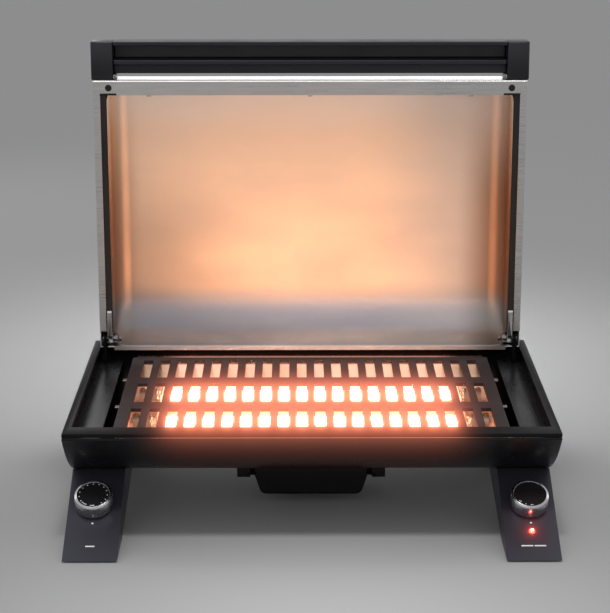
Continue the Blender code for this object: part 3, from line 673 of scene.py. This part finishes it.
def make_liner():
    """Pressed pan with large round corners, notched at the back for the hinge pins."""
    half = LINER_HALF - LINER_SHEET
    rings = []
    steps = 8
    turns = [pi / 2 * i / steps for i in range(steps + 1)]
    for sign, order in ((-1, list(reversed(turns))), (1, turns)):
        for turn in order:
            x = sign * (half - LINER_CORNER * (1 - sin(turn)))
            rings.append((x, liner_line(LINER_SHEET + LINER_CORNER * (1 - cos(turn)))))
    bm = bmesh.new()
    rows = [[bm.verts.new(LID @ Vector((x, y, z))) for y, z in line] for x, line in rings]
    for a, b in zip(rows, rows[1:]):
        for i in range(len(a) - 1):
            bm.faces.new((a[i], a[i + 1], b[i + 1], b[i]))
    bm.faces.new(rows[0])
    bm.faces.new(rows[-1])
    bmesh.ops.triangulate(bm, faces=[face for face in bm.faces if len(face.verts) > 4])
    made = piece("lid_liner_pan", bm, "liner", "lid", ["lid_liner"], 50)
    sheet = made.modifiers.new("sheet", "SOLIDIFY")
    sheet.thickness = LINER_SHEET
    sheet.offset = 1.0
    notch_hinges(made)
    return made


def make_lip():
    """Folded lip along the liner's rear foot."""
    reach = LINER_HALF - 0.0015
    bm = bmesh.new()
    low = (-reach, LID_BEHIND - 0.0020, -LID_LIFT + 0.0003)
    add_block(bm, low, (reach, LIP_BEHIND, -LID_LIFT + 0.0012), LID)
    soften(piece("lid_liner_lip", bm, "liner", "lid"), 0.0004, 2)


def notch_hinges(made):
    """Cuts the two rear corners away round the hinge pins, into the mesh itself."""
    bm = bmesh.new()
    for side, sign in SIDES:
        low, high = sorted((sign * PIN_NOTCH_X, sign * (LINER_HALF + 0.0015)))
        add_block(bm, (low, -PIN_NOTCH, -0.02), (high, 0.012, PIN_NOTCH), LID)
    mesh = bpy.data.meshes.new("pin notches")
    bm.to_mesh(mesh)
    bm.free()
    cutter = bpy.data.objects.new("pin notches", mesh)
    bpy.context.scene.collection.objects.link(cutter)
    step = made.modifiers.new("notches", "BOOLEAN")
    step.operation = "DIFFERENCE"
    step.solver = "EXACT"
    step.object = cutter
    bpy.context.view_layer.update()
    solid = bpy.data.meshes.new_from_object(
        made.evaluated_get(bpy.context.evaluated_depsgraph_get())
    )
    made.modifiers.clear()
    made.data = solid
    bpy.data.objects.remove(cutter, do_unlink=True)


def make_gap_shade():
    """Dark strips between the flange and the liner, on three sides of the mouth, standing in for
    the shade in that gap, and short dark strips at the flange's front corners.
    """
    inner = LINER_HALF + GAP
    outer = LID_HALF_INSIDE
    back, front = -0.030, -LID_REACH + 0.0018
    head = -LID_REACH + 0.0056
    low, high = -LID_LIFT + 0.0016, -LID_LIFT + 0.0076
    # painted shade: a dark rubber strip where the gap is in shadow
    bm = bmesh.new()
    for side, sign in SIDES:
        near, far = sorted((sign * inner, sign * outer))
        add_block(bm, (near, head, low), (far, back, high), LID)
    add_block(bm, (-outer, front, low), (outer, head - GAP, high), LID)
    soften(piece("lid_seal", bm, "rubber", "lid"), 0.0008, 2)
    bm = bmesh.new()
    for side, sign in SIDES:
        near, far = sorted((sign * (FLANGE_IN - 0.0215), sign * (FLANGE_IN + 0.0004)))
        edge = -LID_REACH + FLANGE_HEAD
        corner = (near, edge - 0.0024, -LID_LIFT - 0.0003)
        add_block(bm, corner, (far, edge + 0.0002, -LID_LIFT + 0.0008), LID)
    soften(piece("lid_corner_strip", bm, "rubber", "lid"), 0.0002, 2)


def make_gap_fillets():
    """Rounds the two ends of the slot between the handle and the lid."""
    end = HANDLE_HALF - HANDLE_END
    top = -LID_REACH - HANDLE_OUT + HANDLE_DEEP
    bottom = -LID_REACH - GAP
    radius = 0.0034
    low, high = -LID_LIFT + 0.0012, -LID_LIFT + 0.0260
    bm = bmesh.new()
    for side, sign in SIDES:
        x = sign * end
        centre_x = sign * (end - radius)
        for y, way in ((top, 1), (bottom, -1)):
            outline = [(x, y)]
            for i in range(7):
                turn = pi / 2 * i / 6
                outline.append(
                    (centre_x + sign * radius * sin(turn), y + way * radius * (1 - cos(turn)))
                )
            add_solid(bm, *([LID @ Vector((*point, z)) for point in outline] for z in (low, high)))
    piece("handle_slot_ends", bm, "handle", "lid")


def make_grate_lugs():
    """Small steel lugs at the grate's two sides that it rests on."""
    bm = bmesh.new()
    top = GRATE_HIGH.z - 0.0012
    for side, sign in SIDES:
        near, far = sorted((sign * (GRATE_HIGH.x + 0.0001), sign * (GRATE_HIGH.x + 0.0052)))
        for back in (-0.132, -0.050, 0.055):
            add_block(bm, (near, back - 0.004, top - 0.0022), (far, back + 0.004, top))
    soften(piece("grate_lugs", bm, "arm", "body"), 0.0005, 2)


def make_hem():
    """Rolled edge along the flange's outer side, under the handle."""
    radius = 0.0024
    centre = (-LID_REACH + radius - 0.0002, -LID_LIFT + 0.0018)
    outline = arc(centre, radius, pi, 1.5 * pi, 8) + [centre]
    ends = ([LID @ Vector((x, *point)) for point in outline] for x in (-LID_HALF, LID_HALF))
    bm = bmesh.new()
    add_solid(bm, *ends)
    piece("lid_hem", bm, "flange", "lid")


def dress_lid():
    refined("lid_shell", "shell", "lid", 0.0012, 4)
    make_liner()
    make_lip()
    make_gap_shade()
    make_gap_fillets()
    make_hem()
    refined("lid_frame", "flange", "lid", 0.0004)
    for side, _ in SIDES:
        refined("hinge_arm_" + side, "arm", "lid", 0.0008)
        refined("handle_end_" + side, "handle", "lid", 0.0008)
        paint("lid_bumper_" + side, "rubber")
        refined("hinge_pin_" + side, "screw", "body", 0.0005)
    refined("handle_bar", "handle", "lid", 0.0010)


# ---------------------------------------------------------------- controls
def dress_knob(owner, place, body):
    """A turned ring with a bright chamfer round a black, slightly dished cap."""
    inner = KNOB_R - 0.0036
    ring = [
        (inner, 0.0012),
        (KNOB_R - 0.0010, 0.0012),
        (KNOB_R - 0.0002, 0.0020),
        (KNOB_R, 0.0035),
        (KNOB_R - 0.0002, KNOB_TALL - 0.0026),
        (KNOB_R - 0.0008, KNOB_TALL - 0.0012),
        (KNOB_R - 0.0033, KNOB_TALL - 0.0002),
        (inner, KNOB_TALL - 0.0005),
    ]
    bm = bmesh.new()
    add_lathe(bm, ring, 96, place)
    node = owner + "_knob_ring"
    piece(node + "_fine", bm, "ring", body, [node], 50)
    edge = inner - GAP
    cap = [(0, KNOB_TALL - 0.0060), (edge, KNOB_TALL - 0.0060), (edge, KNOB_TALL - 0.0014)]
    cap += [(edge - 0.0006, KNOB_TALL - 0.0009), (edge * 0.6, KNOB_TALL - 0.0013)]
    cap += [(0, KNOB_TALL - 0.0015)]
    bm = bmesh.new()
    add_lathe(bm, cap, 72, place)
    node = owner + "_knob_cap"
    piece(node + "_fine", bm, "cap", body, [node])


def add_disc(bm, place, radius, thickness=0.00012):
    """A thin round mark, half sunk in its surface."""
    profile = [(0, -thickness), (radius, -thickness), (radius, thickness), (0, thickness)]
    add_lathe(bm, profile, 14, place)


def add_dial_dot(bm, place, degrees, reach, height, radius):
    """A printed dot on a knob's cap."""
    turn = radians(degrees)
    spot = Vector((reach * cos(turn), reach * sin(turn), height))
    add_disc(bm, place @ Matrix.Translation(spot), radius)


def add_arc_bar(bm, place, radius, width, start, end, height, thickness=0.00012):
    """A printed arc on a knob's cap, angles in degrees."""
    steps = 10
    rows = []
    for r, z in (
        (radius - width / 2, height - thickness),
        (radius + width / 2, height - thickness),
        (radius + width / 2, height + thickness),
        (radius - width / 2, height + thickness),
    ):
        turns = [radians(start + (end - start) * i / steps) for i in range(steps + 1)]
        rows.append([bm.verts.new(place @ Vector((r * cos(t), r * sin(t), z))) for t in turns])
    for a, b in zip(rows, rows[1:] + rows[:1]):
        for i in range(steps):
            bm.faces.new((a[i], a[i + 1], b[i + 1], b[i]))
    bm.faces.new([row[0] for row in rows])
    bm.faces.new([row[-1] for row in reversed(rows)])


def make_marks():
    """Dial marks on the caps, and pointer dots and label bars on the legs' faces."""
    top = KNOB_TALL - 0.0010
    reach = KNOB_R - 0.0062
    bar_wide = 0.0010
    first_dot, dot_step, dots = -50, 24, 12
    bm = bmesh.new()
    for step in range(dots):
        add_dial_dot(bm, TIMER, first_dot + dot_step * step, reach, top, 0.00075)
    add_arc_bar(bm, TIMER, reach, bar_wide, 222, 246, top)
    add_block(bm, (-0.0027, -reach - 0.0007, top), (0.0027, -reach + 0.0005, top + 0.0002), TIMER)
    piece("timer_marks", bm, "print", "timer_knob")

    bm = bmesh.new()
    add_arc_bar(bm, POWER, reach, bar_wide, 216, 228, top)
    for degrees in (248, 270, 276):
        add_dial_dot(bm, POWER, degrees, reach, top, 0.0007)
    piece("power_marks", bm, "print", "power_knob")

    dot_down, label_low, label_high = -0.029, -0.0656, -0.0637
    labels = ((TIMER, ((0.0, 0.0110),)), (POWER, ((-0.0078, 0.0138), (0.0078, 0.0138))))
    bm = bmesh.new()
    for place, bars in labels:
        add_disc(bm, place @ Matrix.Translation((0, dot_down, 0.0001)), 0.0013)
        for middle, width in bars:
            low = (middle - width / 2, label_low, 0.0)
            add_block(bm, low, (middle + width / 2, label_high, 0.0002), place)
    piece("leg_marks", bm, "print", "body")


def make_lamp():
    """The power lamp's red dome, with a bright spot where its bulb shows."""
    place = POWER @ Matrix.Translation((0, -LAMP_DOWN, 0))
    radius, root, edge, rise = 0.0032, -0.003, 0.0003, 0.0016
    bm = bmesh.new()
    dome = [(0, root), (radius, root), (radius, edge)]
    dome += [(radius * cos(t), edge + rise * sin(t)) for t in (0.4, 0.8, 1.2)]
    dome += [(0, edge + rise)]
    add_lathe(bm, dome, 28, place)
    piece("indicator_lens", bm, "lamp", "body", ["indicator_lamp"])
    bm = bmesh.new()
    add_disc(bm, place @ Matrix.Translation((0, 0, 0.00195)), 0.0013, 0.00008)
    piece("indicator_core", bm, "lamp_core", "body")


# ---------------------------------------------------------------- studio
def area_light(name, place, target, size, power, colour=(1, 1, 1)):
    light = bpy.data.lights.new(name, "AREA")
    light.shape = "RECTANGLE"
    light.size, light.size_y = size
    light.energy = power
    light.color = colour
    made = bpy.data.objects.new(name, light)
    made.location = place
    aim = Vector(target) - Vector(place)
    made.rotation_euler = aim.to_track_quat("-Z", "Y").to_euler()
    bpy.context.scene.collection.objects.link(made)
    return made


def make_floor():
    bm = bmesh.new()
    bmesh.ops.create_grid(bm, x_segments=1, y_segments=1, size=9.0)
    mesh = bpy.data.meshes.new("floor")
    bm.to_mesh(mesh)
    bm.free()
    floor = bpy.data.objects.new("floor", mesh)
    bpy.context.scene.collection.objects.link(floor)
    finish = Finish("floor paper", (0.40, 0.40, 0.40), 0.8, Specular_IOR_Level=0.1)
    finish.bump(finish.noise(300.0), 0.0001, 0.2)
    mesh.materials.append(finish.material)


def make_air():
    """Even light from all round, and plain colours without a film look."""
    world = bpy.data.worlds.new("studio air")
    world.use_nodes = True
    background = world.node_tree.nodes["Background"]
    background.inputs["Color"].default_value = (0.62, 0.62, 0.63, 1)
    background.inputs["Strength"].default_value = 1.02
    bpy.context.scene.world = world
    bpy.context.scene.view_settings.view_transform = "Standard"


def make_lights():
    """The soft boxes: place, target, size, power; some narrowed, or kept out of reflections."""
    overhead = area_light("overhead box", (0, 0.56, 1.8), (0, 0.54, 0), (0.45, 0.45), 2.0)
    overhead.data.spread = radians(44)
    overhead.visible_glossy = False
    floor_box = area_light("floor box", (0.02, -0.75, 1.9), (0.02, -0.42, 0), (0.3, 0.2), 0.76)
    floor_box.data.spread = radians(32)
    floor_box.visible_glossy = False
    area_light("back box", (-0.9, 1.9, 0.9), (-0.1, 0.1, 0), (0.8, 0.5), 1.6)
    area_light("front box", (-1.1, -2.4, 1.8), (0, -0.3, 0.1), (1.6, 1.0), 1.3)
    area_light("left strip", (-1.7, 0.5, 0.9), (0, 0, 0.2), (0.4, 1.4), 3)
    area_light("right strip", (1.7, 0.5, 0.9), (0, 0, 0.2), (0.4, 1.4), 3)


def make_linked_lights():
    """Three lights that reach only some pieces, by the starts of their names."""
    edge = area_light("edge box", (0, -0.75, 1.9), (0, 0.2, 0.5), (1.6, 0.5), 13)
    keep_to(edge, "lid_hem", "handle_bar", "handle_end", "timer_knob", "power_knob")
    rear = area_light("rear box", (0, 3.3, 1.45), (0, 0, 0.3), (4.0, 1.5), 28)
    rear.visible_camera = False
    keep_to(rear, "lid_shell", "lid_hem", "lid_frame")
    warm = (1.0, 0.53, 0.30)
    heat = area_light("heat", (0, -0.15, 0.21), (0, 0.16, 0.46), (0.40, 0.14), 0.50, warm)
    heat.visible_camera = False
    keep_to(heat, "lid_liner", "lid_frame", "lid_seal")


def keep_to(light, *starts):
    """Lets a light reach only the pieces whose names start as given."""
    lit = bpy.data.collections.new(light.name + " reach")
    light.light_linking.receiver_collection = lit
    for made in list(bpy.context.scene.collection.objects):
        if made.name.startswith(starts):
            lit.objects.link(made)


def make_camera():
    """A long lens, a little above the rim, square to the grill's front."""
    camera = bpy.data.cameras.new("camera")
    camera.sensor_fit = "HORIZONTAL"
    camera.sensor_width = 36.0
    camera.lens = CAMERA_LENS
    made = bpy.data.objects.new("camera", camera)
    made.location = (CAMERA_SIDE, BODY_FRONT - CAMERA_BACK, RIM_TOP + CAMERA_UP)
    made.rotation_euler = (pi / 2 - CAMERA_DOWN, 0, CAMERA_TURN)
    bpy.context.scene.collection.objects.link(made)
    bpy.context.scene.camera = made


def make_bloom():
    """The red-tinted haze that the glowing tubes leave in a camera."""
    scene = bpy.context.scene
    scene.use_nodes = True
    tree = scene.node_tree
    tree.nodes.clear()
    layers = tree.nodes.new("CompositorNodeRLayers")
    glare = tree.nodes.new("CompositorNodeGlare")
    glare.glare_type = "BLOOM"
    settings = {"Threshold": 2.5, "Maximum": 10.0, "Clamp": True, "Strength": 1.25}
    settings.update({"Size": 0.075, "Tint": (1.0, 0.36, 0.28, 1.0)})
    for socket, value in settings.items():
        glare.inputs[socket].default_value = value
    out = tree.nodes.new("CompositorNodeComposite")
    tree.links.new(layers.outputs["Image"], glare.inputs["Image"])
    tree.links.new(glare.outputs["Image"], out.inputs["Image"])


make_camera()
make_floor()
make_air()
make_lights()
make_bloom()
dress_body()
make_inlet_pins()
make_tubes()
make_tube_ends()
make_grate_lugs()
dress_lid()
dress_knob("timer", TIMER, "timer_knob")
dress_knob("power", POWER, "power_knob")
make_marks()
make_lamp()
refined("drip_tray", "enamel", "tray", 0.0010)
make_linked_lights()
